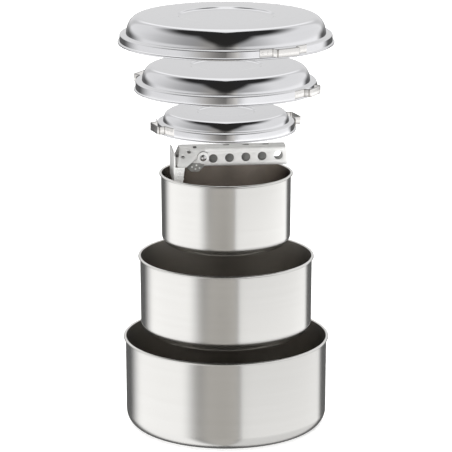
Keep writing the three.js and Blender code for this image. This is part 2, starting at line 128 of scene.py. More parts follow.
# %% Grain that runs round the axis
def turned_grain_group():
    tree, start, end = new_tree(
        "turned_grain",
        "ShaderNodeTree",
        [("Lines per Metre", FLOAT, 1600.0), ("Line Length", FLOAT, 3.0)],
        [("Grain", FLOAT), ("Bands", FLOAT)],
    )
    place = out(add(tree, "ShaderNodeTexCoord"), "Object")
    part = add(tree, "ShaderNodeSeparateXYZ", {0: place})
    flat = add(tree, "ShaderNodeCombineXYZ", {0: out(part, "X"), 1: out(part, "Y")})
    radius = out(add(tree, "ShaderNodeVectorMath", {0: out(flat)}, operation="LENGTH"), "Value")
    heading = add(tree, "ShaderNodeVectorMath", {0: out(flat)}, operation="NORMALIZE")
    turn = add(tree, "ShaderNodeSeparateXYZ", {0: out(heading)})
    fine, length = start.outputs["Lines per Metre"], start.outputs["Line Length"]
    slow_x = math_node(tree, "MULTIPLY", out(turn, "X"), length)
    slow_y = math_node(tree, "MULTIPLY", out(turn, "Y"), length)
    across = math_node(tree, "MULTIPLY_ADD", radius, fine, slow_x)
    up = math_node(tree, "MULTIPLY_ADD", out(part, "Z"), fine, slow_y)
    vector = add(tree, "ShaderNodeCombineXYZ", {0: across, 1: up})
    noise = add(tree, "ShaderNodeTexNoise", {"Vector": out(vector), "Scale": 1.0, "Detail": 3.0})
    wide = add(tree, "ShaderNodeTexNoise", {"Vector": out(vector), "Scale": 0.12, "Detail": 2.0})
    tree.links.new(out(noise), end.inputs["Grain"])
    tree.links.new(out(wide), end.inputs["Bands"])
    return tree


turned_grain = turned_grain_group()
print("group", turned_grain.name, "with", len(turned_grain.nodes), "nodes")


# %% [markdown]
# ## Handling marks, shared by all the metals
# Cookware that has been picked up is never evenly bright: there are cloudy patches where it was
# wiped, and hairline scratches that cross at all angles. Patches come from a low noise. The
# scratches come from two stretched noises turned against each other, of which only the thin
# peaks are kept.

# %% Smudges and hairlines
def handling_group():
    tree, start, end = new_tree(
        "handling_marks",
        "ShaderNodeTree",
        [("Patch Scale", FLOAT, 22.0), ("Scratch Scale", FLOAT, 60.0)],
        [("Patches", FLOAT), ("Scratches", FLOAT)],
    )
    place = out(add(tree, "ShaderNodeTexCoord"), "Object")
    patch_inputs = {"Vector": place, "Scale": start.outputs["Patch Scale"], "Detail": 4.0}
    patches = add(tree, "ShaderNodeTexNoise", patch_inputs)
    hairs = []
    for tilt, seed in ((0.5, 0.0), (-0.9, 7.0)):
        turned = add(
            tree,
            "ShaderNodeMapping",
            {"Vector": place, "Rotation": (tilt, 0.3, seed), "Scale": (1.0, 45.0, 1.0)},
        )
        scale = start.outputs["Scratch Scale"]
        hair_inputs = {"Vector": out(turned), "Scale": scale, "Detail": 1.0}
        hair = add(tree, "ShaderNodeTexNoise", hair_inputs)
        peak = math_node(tree, "MULTIPLY_ADD", out(hair), 9.0, -6.3, clamp=True)
        hairs.append(peak)
    scratches = math_node(tree, "MAXIMUM", hairs[0], hairs[1])
    tree.links.new(out(patches), end.inputs["Patches"])
    tree.links.new(scratches, end.inputs["Scratches"])
    return tree


handling_marks = handling_group()
print("group", handling_marks.name, "with", len(handling_marks.nodes), "nodes")


# %% [markdown]
# ## The metals
# Steel here differs in how it was finished. The outside of the pots is satin, the lids are
# polished almost to a mirror, and the inside of the large and medium pots is duller. That inside
# and the underside of the lids also get a darker colour, which is painted shade. The small pot is
# brighter inside, without that painted shade. All of them share the two groups above and only
# change their own strengths, so one function makes every steel.

# %% Steel finishes
def group_node(tree, group, **values):
    made = tree.nodes.new("ShaderNodeGroup")
    made.node_tree = group
    for name, value in values.items():
        made.inputs[name.replace("_", " ")].default_value = value
    return made


def blend_colour(tree, factor, first, second):
    mix = add(tree, "ShaderNodeMix", data_type="RGBA", blend_type="MIX")
    tree.links.new(factor, [s for s in mix.inputs if s.enabled and s.name == "Factor"][0])
    ends = [s for s in mix.inputs if s.enabled and s.name in ("A", "B")]
    ends[0].default_value = (*first, 1)
    ends[1].default_value = (*second, 1)
    return [s for s in mix.outputs if s.enabled][0]


def steel(name, dark, light, rough, rough_swing, stretch, grain, bump, lines=1600.0):
    material = bpy.data.materials.new(name)
    material.use_nodes = True
    tree = material.node_tree
    shader = tree.nodes["Principled BSDF"]
    shader.inputs["Metallic"].default_value = 1
    shader.inputs["Anisotropic"].default_value = stretch
    shader.inputs["Anisotropic Rotation"].default_value = 0.25
    turned = group_node(tree, turned_grain, Lines_per_Metre=lines)
    marks = group_node(tree, handling_marks)
    tone = math_node(tree, "MULTIPLY_ADD", turned.outputs["Bands"], 0.6, 0.2, clamp=True)
    tree.links.new(blend_colour(tree, tone, dark, light), shader.inputs["Base Color"])
    smoothest = rough - rough_swing / 2
    worn = math_node(tree, "MULTIPLY_ADD", marks.outputs["Patches"], rough_swing, smoothest)
    scratched = math_node(tree, "MULTIPLY_ADD", marks.outputs["Scratches"], 0.05, worn)
    lined = math_node(tree, "MULTIPLY_ADD", turned.outputs["Grain"], grain, scratched, clamp=True)
    tree.links.new(lined, shader.inputs["Roughness"])
    relief = add(tree, "ShaderNodeBump", {"Height": turned.outputs["Grain"], "Distance": 0.00002})
    relief.inputs["Strength"].default_value = bump
    tree.links.new(out(relief), shader.inputs["Normal"])
    if stretch:
        tangent = add(tree, "ShaderNodeTangent", direction_type="RADIAL", axis="Z")
        tree.links.new(out(tangent), shader.inputs["Tangent"])
    return material


# Each row: dark and light colour, roughness and its swing, anisotropy, grain and bump strength.
satin_steel = steel(
    "satin_steel", (0.63, 0.62, 0.60), (0.68, 0.675, 0.66), 0.20, 0.04, 0.7, 0.04, 0.12
)
# Painted shade: the darker colour stands for shade inside the nested pots and under the lids; the
# higher roughness is the real duller finish.
shaded_inner_steel = steel(
    "shaded_inner_steel", (0.46, 0.44, 0.41), (0.54, 0.515, 0.48), 0.27, 0.06, 0.6, 0.05, 0.2
)
small_pot_lining_steel = steel(
    "small_pot_lining_steel", (0.62, 0.585, 0.55), (0.70, 0.665, 0.63), 0.16, 0.05, 0.6, 0.04, 0.2
)
polished_steel = steel(
    "polished_steel", (0.64, 0.64, 0.655), (0.69, 0.69, 0.71), 0.07, 0.03, 0.0, 0.02, 0.05
)
strap_steel = steel(
    "strap_steel", (0.60, 0.585, 0.57), (0.68, 0.67, 0.66), 0.15, 0.05, 0.0, 0.04, 0.12
)
rivet_steel = steel(
    "rivet_steel", (0.64, 0.64, 0.64), (0.72, 0.72, 0.72), 0.12, 0.04, 0.0, 0.02, 0.05
)
print("steels:", [m.name for m in bpy.data.materials])


# %% [markdown]
# ## Painted shade on the strap edges
# The straps are sheared from strip. Their two long edges get painted shade, for the shadow lines
# along them: the strap's tree stores how far across the strip each point lies, from -0.5 to 0.5,
# and the colour is pulled down close to both ends of that range.

# %% Painted shade on strap edges
def paint_strap_edge_shade(material):
    tree = material.node_tree
    base = tree.nodes["Principled BSDF"].inputs["Base Color"]
    colour = base.links[0].from_socket
    across = add(tree, "ShaderNodeAttribute", attribute_name="across")
    away = math_node(tree, "ABSOLUTE", out(across, "Fac"))
    # Painted shade: the colour is pulled down near the strap's top and bottom edges.
    edge = math_node(tree, "MULTIPLY_ADD", away, 9.0, -3.5, clamp=True)
    mix = add(tree, "ShaderNodeMix", data_type="RGBA", blend_type="MIX")
    tree.links.new(math_node(tree, "MULTIPLY", edge, 0.75), [s for s in mix.inputs if s.enabled][0])
    ends = [s for s in mix.inputs if s.enabled and s.name in ("A", "B")]
    tree.links.new(colour, ends[0])
    ends[1].default_value = (0.16, 0.155, 0.15, 1)
    tree.links.new([s for s in mix.outputs if s.enabled][0], base)


paint_strap_edge_shade(strap_steel)
print("strap steel with", len(strap_steel.node_tree.nodes), "nodes")


# %% [markdown]
# ## Tumbled aluminium
# The lifter is stamped from sheet and tumbled with stones, which leaves a fine even grit without
# any direction, and a soft grey colour that is greyer in its pits. A second, much darker version
# is painted shade for the insides of its channels.

# %% Tumbled aluminium
def aluminium(name, pits, face):
    material = bpy.data.materials.new(name)
    material.use_nodes = True
    tree = material.node_tree
    shader = tree.nodes["Principled BSDF"]
    shader.inputs["Metallic"].default_value = 0.3
    place = out(add(tree, "ShaderNodeTexCoord"), "Object")
    grit = add(tree, "ShaderNodeTexNoise", {"Vector": place, "Scale": 1500.0, "Detail": 2.0})
    cloud = add(tree, "ShaderNodeTexNoise", {"Vector": place, "Scale": 120.0, "Detail": 3.0})
    marks = group_node(tree, handling_marks, Patch_Scale=60.0, Scratch_Scale=110.0)
    tone = math_node(tree, "MULTIPLY_ADD", out(cloud), 1.6, -0.3, clamp=True)
    colour = blend_colour(tree, tone, pits, face)
    tree.links.new(colour, shader.inputs["Base Color"])
    worn = math_node(tree, "MULTIPLY_ADD", marks.outputs["Patches"], 0.14, 0.33)
    rough = math_node(tree, "MULTIPLY_ADD", marks.outputs["Scratches"], -0.10, worn)
    tree.links.new(rough, shader.inputs["Roughness"])
    relief_inputs = {"Height": out(grit), "Strength": 0.35, "Distance": 0.00008}
    relief = add(tree, "ShaderNodeBump", relief_inputs)
    tree.links.new(out(relief), shader.inputs["Normal"])
    return material


tumbled_aluminium = aluminium("tumbled_aluminium", (0.78, 0.78, 0.765), (0.88, 0.88, 0.865))
# A dark copy of the aluminium, used as painted shade inside the channels, under the top and on the
# stop plates.
painted_shade_aluminium = aluminium("painted_shade_aluminium", (0.22, 0.22, 0.21), (0.40, 0.40, 0.385))
print("aluminium with", len(tumbled_aluminium.node_tree.nodes), "nodes")


# %% [markdown]
# ## Outlines with rounded corners
# Sheet metal has no sharp corners: each bend has its own radius. An outline is written as a few
# corner points, each with its radius, and this helper puts the arcs in. The same helper serves
# the pots, the lids, the straps and the lifter.

# %% Outline helpers
def rounded(corners, steps=10):
    """Open path through (x, y, radius) corners, with an arc in place of each inner corner."""
    points = [Vector(corners[0][:2])]
    for before, here, after in zip(corners, corners[1:], corners[2:]):
        corner, radius = Vector(here[:2]), here[2]
        first = (Vector(before[:2]) - corner).normalized()
        second = (Vector(after[:2]) - corner).normalized()
        opening = first.angle(second)
        if radius <= 0 or opening > math.pi - 0.01:
            points.append(corner)
            continue
        reach = radius / math.tan(opening / 2)
        centre = corner + (first + second).normalized() * radius / math.sin(opening / 2)
        start, end = corner + first * reach - centre, corner + second * reach - centre
        turn = start.angle_signed(end)
        for i in range(steps + 1):
            points.append(centre + Matrix.Rotation(-turn * i / steps, 2) @ start)
    points.append(Vector(corners[-1][:2]))
    return points


def arc(centre, radius, start, end, steps):
    turns = [math.radians(start + (end - start) * i / steps) for i in range(steps + 1)]
    x, y = centre[0], centre[1]
    return [Vector((x + radius * math.cos(t), y + radius * math.sin(t))) for t in turns]


def beside(points, distance):
    """The path moved sideways, to its left for a positive distance."""
    moved = []
    for i, point in enumerate(points):
        one = (point - points[i - 1]).normalized() if i else Vector((0, 0))
        two = (points[i + 1] - point).normalized() if i + 1 < len(points) else Vector((0, 0))
        along = (one + two).normalized()
        normal = Vector((-along.y, along.x))
        single = two if two.length else one
        spread = max(normal.dot(Vector((-single.y, single.x))), 0.6)
        moved.append(point + normal * distance / spread)
    return moved


def path_mesh(name, points):
    mesh = bpy.data.meshes.new(name)
    corners = [tuple(p) if len(p) == 3 else (p[0], 0, p[1]) for p in points]
    mesh.from_pydata(corners, [(i, i + 1) for i in range(len(corners) - 1)], [])
    return mesh


# %% [markdown]
# ## The turned shell tree
# A spun pot is its outline swept round an axis. In Geometry Nodes the sweep can be a plain grid:
# one direction of the grid counts the outline's points and the other counts steps round the
# circle. Each grid vertex looks up its outline point by index, which gives a radius and a height,
# and moves there. Merging by distance then closes the seam and both poles. The rows between two
# chosen ones get the second material, which is how the inside becomes duller than the outside.

# %% Turned shell tree
def turned_shell_tree():
    tree, start, end = new_tree(
        "turned_shell",
        "GeometryNodeTree",
        [
            ("Geometry", "NodeSocketGeometry", None),
            ("Steps Round", "NodeSocketInt", 192),
            ("First Inside Row", "NodeSocketInt", 0),
            ("Last Inside Row", "NodeSocketInt", 0),
            ("Outside", "NodeSocketMaterial", None),
            ("Inside", "NodeSocketMaterial", None),
        ],
        [("Geometry", "NodeSocketGeometry")],
    )
    outline = start.outputs["Geometry"]
    steps = start.outputs["Steps Round"]
    count = add(tree, "GeometryNodeAttributeDomainSize", {"Geometry": outline})
    columns = math_node(tree, "ADD", steps, 1.0)
    size = {"Vertices X": out(count, "Point Count"), "Vertices Y": columns}
    grid = add(tree, "GeometryNodeMeshGrid", size)
    index = out(add(tree, "GeometryNodeInputIndex"))
    past_rows = math_node(tree, "DIVIDE", math_node(tree, "ADD", index, 0.5), columns)
    row = math_node(tree, "FLOOR", past_rows)
    column = math_node(tree, "SUBTRACT", index, math_node(tree, "MULTIPLY", row, columns))
    angle = math_node(tree, "DIVIDE", math_node(tree, "MULTIPLY", column, 2 * math.pi), steps)
    position = out(add(tree, "GeometryNodeInputPosition"))
    lookup = add(tree, "GeometryNodeSampleIndex", data_type="FLOAT_VECTOR")
    for name, source in (("Geometry", outline), ("Value", position), ("Index", row)):
        tree.links.new(source, [s for s in lookup.inputs if s.enabled and s.name == name][0])
    found = add(tree, "ShaderNodeSeparateXYZ", {0: out(lookup)})
    x = math_node(tree, "MULTIPLY", out(found, "X"), math_node(tree, "COSINE", angle))
    y = math_node(tree, "MULTIPLY", out(found, "X"), math_node(tree, "SINE", angle))
    place = add(tree, "ShaderNodeCombineXYZ", {0: x, 1: y, 2: out(found, "Z")})
    face_row = add(tree, "GeometryNodeFieldOnDomain", data_type="FLOAT", domain="FACE")
    tree.links.new(row, [s for s in face_row.inputs if s.enabled][0])
    coat_inputs = {"Geometry": out(grid, "Mesh"), "Material": start.outputs["Outside"]}
    coat = add(tree, "GeometryNodeSetMaterial", coat_inputs)
    past = math_node(tree, "GREATER_THAN", out(face_row), start.outputs["First Inside Row"])
    before = math_node(tree, "LESS_THAN", out(face_row), start.outputs["Last Inside Row"])
    inside = math_node(tree, "MULTIPLY", past, before)
    lining_inputs = {
        "Geometry": out(coat),
        "Selection": inside,
        "Material": start.outputs["Inside"],
    }
    lining = add(tree, "GeometryNodeSetMaterial", lining_inputs)
    moved = add(tree, "GeometryNodeSetPosition", {"Geometry": out(lining), "Position": out(place)})
    closed = add(tree, "GeometryNodeMergeByDistance", {"Geometry": out(moved), "Distance": 1e-6})
    turned = add(tree, "GeometryNodeFlipFaces", {"Mesh": out(closed)})
    smooth = add(tree, "GeometryNodeSetShadeSmooth", {0: out(turned)})
    real = add(tree, "GeometryNodeRealizeInstances", {0: out(smooth)})
    tree.links.new(out(real), end.inputs["Geometry"])
    return tree


def evaluate_tree(name, mesh, tree, values):
    """Runs a tree on a start mesh and returns the result as a plain object."""
    holder = bpy.data.objects.new(name + "_maker", mesh)
    bpy.context.scene.collection.objects.link(holder)
    modifier = holder.modifiers.new("maker", "NODES")
    modifier.node_group = tree
    for item in tree.interface.items_tree:
        if item.item_type == "SOCKET" and item.in_out == "INPUT" and item.name in values:
            modifier[item.identifier] = values[item.name]
    shown = holder.evaluated_get(bpy.context.evaluated_depsgraph_get())
    made = bpy.data.meshes.new_from_object(shown)
    holder.modifiers.clear()
    bpy.data.objects.remove(holder)
    made.name = name
    piece = bpy.data.objects.new(name, made)
    bpy.context.scene.collection.objects.link(piece)
    return piece


def finish_piece(piece, body, nodes, sharp=35):
    """Marks the sharp edges, hangs the piece on its body's empty and hides the CAD parts it stands
    for.
    """
    piece.data.set_sharp_from_angle(angle=math.radians(sharp))
    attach(piece, body)
    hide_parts(*nodes)
    print(piece.name, "faces", len(piece.data.polygons), "materials", len(piece.data.materials))
    return piece


turned_shell = turned_shell_tree()
STEPS_ROUND = 192


# %% [markdown]
# ## The pots
# Each pot is one sheet: a flat base, a rounded corner, a wall with a little draft, and a rim that
# is rolled outwards into a bead. The bead makes the rim stiff and safe to touch. Outer sizes come
# from the frame's boxes. The outline runs from the middle of the base outside, over the bead, to
# the middle of the base inside, so that the surface closes on itself.

# %% Pots
POT_WALL = 0.8 * MM
POT_DRAFT = 0.5 * MM
RIM_OUT = 2.0 * MM
RIM_RADIUS = 1.1 * MM
LIP_RADIUS = 0.9 * MM
LINING_ROWS_OVER_LIP = 4


def pot_outline(radius, height, corner):
    foot = radius - POT_DRAFT
    under_rim = height - 2 * RIM_RADIUS
    outer = rounded([(0, 0, 0), (foot, 0, corner), (radius, under_rim, 0)], 20)
    bead = arc((radius + RIM_OUT - RIM_RADIUS, height - RIM_RADIUS), RIM_RADIUS, -88, 90, 14)
    neck = rounded([outer[-2], (radius, under_rim - 0.2 * MM, 0.7 * MM), bead[0]], 5)[1:-1]
    lip_centre = (radius - POT_WALL + LIP_RADIUS, height - LIP_RADIUS)
    lip = arc(lip_centre, LIP_RADIUS, 90, 180, 6)
    inner_corner = corner - POT_WALL
    inner = rounded(
        [lip[-1], (foot - POT_WALL, POT_WALL, inner_corner), (0, POT_WALL, 0)],
        20,
    )
    shell = [*outer[:-1], *neck, *bead, *lip]
    return shell, inner[1:]


def make_pot(node, corner, lining):
    low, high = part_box(node)
    radius = (high.x - low.x) / 2 - RIM_OUT
    shell, inner = pot_outline(radius, high.z - low.z, corner)
    lifted = [point + Vector((0, low.z)) for point in [*shell, *inner]]
    values = {
        "Steps Round": STEPS_ROUND,
        "First Inside Row": len(shell) - LINING_ROWS_OVER_LIP,
        "Last Inside Row": len(lifted),
        "Outside": satin_steel,
        "Inside": lining,
    }
    piece = evaluate_tree(node + "_shell", path_mesh(node, lifted), turned_shell, values)
    return finish_piece(piece, node, [node])


make_pot("large_pot", 15 * MM, shaded_inner_steel)
make_pot("medium_pot", 12 * MM, shaded_inner_steel)
make_pot("small_pot", 10 * MM, small_pot_lining_steel)


# %% [markdown]
# ## The lids
# A lid is pressed from one disc. From the outside in: a hem rolled outwards, a short upright
# skirt that slides over the pot's bead, a flat ledge that rests on it, a steep and slightly full
# dome side, a tight bend to the crown, and a shallow round recess in the middle. The inner
# surface is the same outline moved sideways by the sheet's thickness.

# %% Lids
LID_WALL = 0.7 * MM
DOME_SHOULDER = 0.72
CROWN_RISE = 0.6 * MM
RECESS_DEPTH = 2 * MM
RECESS_STEP = 2.6 * MM
RECESS_STEP_DROP = 1.65 * MM
RECESS_RAMP = 7.4 * MM


def lid_outline(lid):
    skirt_radius = lid["radius"] - lid["hem_out"]
    foot = skirt_radius - lid["ledge"]
    crown = lid["skirt"] + lid["dome"]
    shoulder = DOME_SHOULDER * lid["dome"]
    hem_top = 2 * lid["hem"]
    recess, top = lid["recess"], crown + CROWN_RISE
    round_side = [
        Vector((foot - shoulder * (1 - math.cos(t)), lid["skirt"] + lid["dome"] * math.sin(t)))
        for t in [math.radians(8 + 4 * i) for i in range(20)]
    ]
    skirt = rounded(
        [
            (skirt_radius, hem_top + 0.25 * MM, 0),
            (skirt_radius, lid["skirt"], 1.0 * MM),
            (foot, lid["skirt"], 0.7 * MM),
            round_side[0],
        ],
        8,
    )
    crown_path = rounded(
        [
            round_side[-1],
            (foot - shoulder - 0.5 * MM, crown, 6 * MM),
            (recess, top, 1.6 * MM),
            (recess - RECESS_STEP, top - RECESS_STEP_DROP, 4 * MM),
            (recess - RECESS_STEP - RECESS_RAMP, top - RECESS_DEPTH, 9 * MM),
            (0, top - RECESS_DEPTH, 0),
        ],
        8,
    )
    outer = [*skirt, *round_side[1:-1], *crown_path]
    inner = beside(outer, LID_WALL)
    inner[-1].x = 0
    hem_centre = (lid["radius"] - lid["hem"], lid["hem"])
    hem = arc(hem_centre, lid["hem"], 268, 448, 16)
    throat_radius = skirt_radius - LID_WALL
    throat = [Vector((throat_radius, 0.15 * MM)), Vector((throat_radius + 0.3 * MM, 0))]
    return list(reversed(inner)), [*throat, *hem, *outer]


def make_lid(name, skirt, dome, ledge, recess, hem, hem_out):
    node = name + "_lid"
    low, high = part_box(node)
    sizes = {
        "radius": (high.x - low.x) / 2,
        "skirt": skirt * MM,
        "dome": dome * MM,
        "ledge": ledge * MM,
        "recess": recess * MM,
        "hem": hem * MM,
        "hem_out": hem_out * MM,
    }
    inner, shell = lid_outline(sizes)
    lifted = [point + Vector((0, low.z)) for point in [*inner, *shell]]
    values = {
        "Steps Round": STEPS_ROUND,
        "First Inside Row": -1,
        "Last Inside Row": len(inner),
        "Outside": polished_steel,
        "Inside": shaded_inner_steel,
    }
    piece = evaluate_tree(node + "_shell", path_mesh(node, lifted), turned_shell, values)
    piece.visible_glossy = False
    return finish_piece(piece, node, [node])


make_lid("large", 9.2, 18.0, 6.6, 48.7, 1.1, 2.0)
make_lid("medium", 9.5, 15.0, 6.6, 36.6, 0.8, 1.6)
make_lid("small", 8.7, 9.9, 5.6, 30.0, 0.8, 1.6)


# %% [markdown]
# ## The strap loops
# Two flat strap loops are spot-welded to the skirt of each lid, opposite each other, so that the
# lifter or a finger can take hold. A loop is a ribbon that follows a path: a weld tab along the
# skirt, a leg straight out, a bar across, and the same back. A tree sweeps a small rectangle with
# rounded edges along that path, stores how far across the strap each point lies, puts two weld
# marks on each tab, and turns the whole loop to its place on the lid.

# %% Strap loop tree
WELD_FLATNESS = 0.07


def strap_loop_tree():
    tree, start, end = new_tree(
        "strap_loop",
        "GeometryNodeTree",
        [
            ("Geometry", "NodeSocketGeometry", None),
            ("Strap Height", FLOAT, 0.008),
            ("Strap Thickness", FLOAT, 0.001),
            ("Edge Rounding", FLOAT, 0.0003),
            ("Weld Radius", FLOAT, 0.0013),
            ("Tab Radius", FLOAT, 0.1),
            ("First Weld Angle", FLOAT, 0.1),
            ("Second Weld Angle", FLOAT, 0.2),
            ("Azimuth", FLOAT, 0.0),
            ("Middle Height", FLOAT, 0.0),
            ("Metal", "NodeSocketMaterial", None),
        ],
        [("Geometry", "NodeSocketGeometry")],
    )
    given = start.outputs
    line = add(tree, "GeometryNodeMeshToCurve", {"Mesh": given["Geometry"]})
    upright = add(tree, "GeometryNodeSetCurveNormal", {"Curve": out(line)}, mode="Z_UP")
    section_size = {"Width": given["Strap Thickness"], "Height": given["Strap Height"]}
    section = add(tree, "GeometryNodeCurvePrimitiveQuadrilateral", section_size)
    fillet_inputs = {"Curve": out(section), "Radius": given["Edge Rounding"], "Count": 3}
    soft = add(tree, "GeometryNodeFilletCurve", fillet_inputs, mode="POLY")
    sweep_inputs = {"Curve": out(upright), "Profile Curve": out(soft), "Fill Caps": True}
    strap = add(tree, "GeometryNodeCurveToMesh", sweep_inputs)
    height = add(tree, "ShaderNodeSeparateXYZ", {0: out(add(tree, "GeometryNodeInputPosition"))})
    across = math_node(tree, "DIVIDE", out(height, "Z"), given["Strap Height"])
    marked = add(
        tree,
        "GeometryNodeStoreNamedAttribute",
        {"Geometry": out(strap), "Name": "across", "Value": across},
        data_type="FLOAT",
        domain="POINT",
    )
    joined = tree.nodes.new("GeometryNodeJoinGeometry")
    tree.links.new(out(marked), joined.inputs[0])
    dot_inputs = {"Segments": 16, "Rings": 8, "Radius": given["Weld Radius"]}
    dot = add(tree, "GeometryNodeMeshUVSphere", dot_inputs)
    flat_inputs = {"Geometry": out(dot, "Mesh"), "Scale": (WELD_FLATNESS, 1, 1)}
    flat = add(tree, "GeometryNodeTransform", flat_inputs)
    for side in (1, -1):
        for name in ("First Weld Angle", "Second Weld Angle"):
            angle = math_node(tree, "MULTIPLY", given[name], side)
            x = math_node(tree, "MULTIPLY", given["Tab Radius"], math_node(tree, "COSINE", angle))
            y = math_node(tree, "MULTIPLY", given["Tab Radius"], math_node(tree, "SINE", angle))
            place = add(tree, "ShaderNodeCombineXYZ", {0: x, 1: y})
            point = add(tree, "GeometryNodePoints", {"Count": 1, "Position": out(place)})
            turn = add(tree, "ShaderNodeCombineXYZ", {2: angle})
            weld_inputs = {"Points": out(point), "Instance": out(flat), "Rotation": out(turn)}
            weld = add(tree, "GeometryNodeInstanceOnPoints", weld_inputs)
            tree.links.new(out(weld), joined.inputs[0])
    rotation = add(tree, "ShaderNodeCombineXYZ", {2: given["Azimuth"]})
    lift = add(tree, "ShaderNodeCombineXYZ", {2: given["Middle Height"]})
    placed_inputs = {"Geometry": out(joined), "Translation": out(lift), "Rotation": out(rotation)}
    placed = add(tree, "GeometryNodeTransform", placed_inputs)
    real = add(tree, "GeometryNodeRealizeInstances", {0: out(placed)})
    smooth = add(tree, "GeometryNodeSetShadeSmooth", {0: out(real)})
    coat_inputs = {"Geometry": out(smooth), "Material": given["Metal"]}
    coat = add(tree, "GeometryNodeSetMaterial", coat_inputs)
    tree.links.new(out(coat), end.inputs["Geometry"])
    return tree


strap_loop = strap_loop_tree()
print("tree", strap_loop.name, "with", len(strap_loop.nodes), "nodes")


# %% [markdown]
# The path is worked out from the lid's own radius, so that each tab follows the curve of its
# skirt. Only half of the path is drawn; the other half is its mirror image.

# %% Strap loops
STRAP_HEIGHT = 8 * MM
STRAP_THICKNESS = 1 * MM
LOOP_REACH = 6.5 * MM
LOOP_WIDTH = 25.5 * MM
LOOP_TAB = 12 * MM
LOOP_BEND = 2.2 * MM
TOUCH_GAP = 0.3 * MM
WELDS_ALONG_TAB = (0.3, 0.75)


def loop_path(skirt_radius):
    tab_radius = skirt_radius + TOUCH_GAP + STRAP_THICKNESS / 2
    leg = LOOP_WIDTH / 2
    bar = skirt_radius + LOOP_REACH + STRAP_THICKNESS / 2
    leg_angle = math.asin((leg + LOOP_BEND) / tab_radius)
    far_angle = leg_angle + LOOP_TAB / tab_radius
    foot = tab_radius * math.cos(leg_angle)
    half = [
        *arc((0, 0), tab_radius, math.degrees(far_angle), math.degrees(leg_angle), 8),
        *arc((foot + LOOP_BEND, leg + LOOP_BEND), LOOP_BEND, -150, -95, 8),
        *arc((bar - LOOP_BEND, leg - LOOP_BEND), LOOP_BEND, 90, 0, 10),
    ]
    mirrored = [Vector((point.x, -point.y)) for point in reversed(half)]
    return [point.to_3d() for point in [*half, *mirrored]], leg_angle, far_angle


def make_loops(lid, hem_out, azimuth):
    low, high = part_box(lid + "_lid")
    skirt_radius = (high.x - low.x) / 2 - hem_out * MM
    path, leg_angle, far_angle = loop_path(skirt_radius)
    for side, turn in (("front", azimuth), ("back", azimuth + 180)):
        node = lid + "_lid_loop_" + side
        foot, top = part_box(node)
        values = {
            "Strap Height": STRAP_HEIGHT,
            "Strap Thickness": STRAP_THICKNESS,
            "Tab Radius": skirt_radius + TOUCH_GAP + STRAP_THICKNESS,
            "First Weld Angle": leg_angle + WELDS_ALONG_TAB[0] * (far_angle - leg_angle),
            "Second Weld Angle": leg_angle + WELDS_ALONG_TAB[1] * (far_angle - leg_angle),
            "Azimuth": math.radians(turn),
            "Middle Height": (foot.z + top.z) / 2,
            "Metal": strap_steel,
        }
        piece = evaluate_tree(node + "_strap", path_mesh(node, path), strap_loop, values)
        piece.visible_glossy = False
        finish_piece(piece, lid + "_lid", [node], 50)


make_loops("large", 2.0, 302)
make_loops("medium", 1.6, 334.5)
make_loops("small", 1.6, 200)


# %% [markdown]
# ## Cutting sheet metal
# The lifter is two stampings. Each is drawn in its own frame, with x along the handles, y across
# them and z up from the rivet, and then turned to its place. A stamping is a folded channel
# trimmed to its side view, so it is made the same way: prisms of the end view and of the side
# view are intersected, holes are cut, and a small bevel takes the edge off the metal.

# %% Solid helpers
joints = frame["record"]["behaviour"]["joints"]
hinge = [joint for joint in joints if joint["name"] == "upper_arm_hinge"][0]
lifter_yaw = math.atan2(hinge["axis"][0], -hinge["axis"][1])
lifter_place = Matrix.Translation(hinge["pos_m"]) @ Matrix.Rotation(lifter_yaw, 4, "Z")
print("rivet at", [round(value, 4) for value in hinge["pos_m"]])


def prism(outline, along, start, end):
    """Closed solid of an outline; along is the axis it is drawn out on."""
    place = {
        "X": lambda point, reach: (reach, point[0], point[1]),
        "Y": lambda point, reach: (point[0], reach, point[1]),
        "Z": lambda point, reach: (point[0], point[1], reach),
    }[along]
    solid = bmesh.new()
    rings = [[solid.verts.new(place(point, reach)) for point in outline] for reach in (start, end)]
    solid.faces.new(rings[0])
    solid.faces.new(rings[1])
    for i in range(len(outline)):
        solid.faces.new((rings[0][i - 1], rings[0][i], rings[1][i], rings[1][i - 1]))
    bmesh.ops.recalc_face_normals(solid, faces=solid.faces)
    return solid


def merged(*solids):
    """Several solids as one mesh, which the boolean treats as one tool."""
    whole = solids[0]
    for solid in solids[1:]:
        spare = bpy.data.meshes.new("spare")
        solid.to_mesh(spare)
        whole.from_mesh(spare)
        bpy.data.meshes.remove(spare)
        solid.free()
    return whole


def as_object(name, solid):
    mesh = bpy.data.meshes.new(name)
    solid.to_mesh(mesh)
    solid.free()
    piece = bpy.data.objects.new(name, mesh)
    bpy.context.scene.collection.objects.link(piece)
    return piece


def apply_modifiers(piece):
    shown = piece.evaluated_get(bpy.context.evaluated_depsgraph_get())
    made = bpy.data.meshes.new_from_object(shown)
    piece.modifiers.clear()
    piece.data = made
    return piece


def combine(piece, operation, solid):
    tool = as_object("tool", solid)
    cut = piece.modifiers.new("cut", "BOOLEAN")
    cut.operation, cut.object, cut.solver = operation, tool, "EXACT"
    apply_modifiers(piece)
    bpy.data.objects.remove(tool)
    return piece


def circle(x, z, radius, steps=32):
    return arc((x, z), radius, 0, 360 * (steps - 1) / steps, steps - 1)


def hole_row(row, steps):
    """Outlines of a straight row of round holes, from its first place and its step."""
    return [
        circle(
            (row["x"] + row["step_x"] * i) * MM,
            (row["z"] + row["step_z"] * i) * MM,
            row["radius"] * MM,
            steps,
        )
        for i in range(row["count"])
    ]


def pair(outline, inner, outer):
    return merged(prism(outline, "Y", inner, outer), prism(outline, "Y", -outer, -inner))


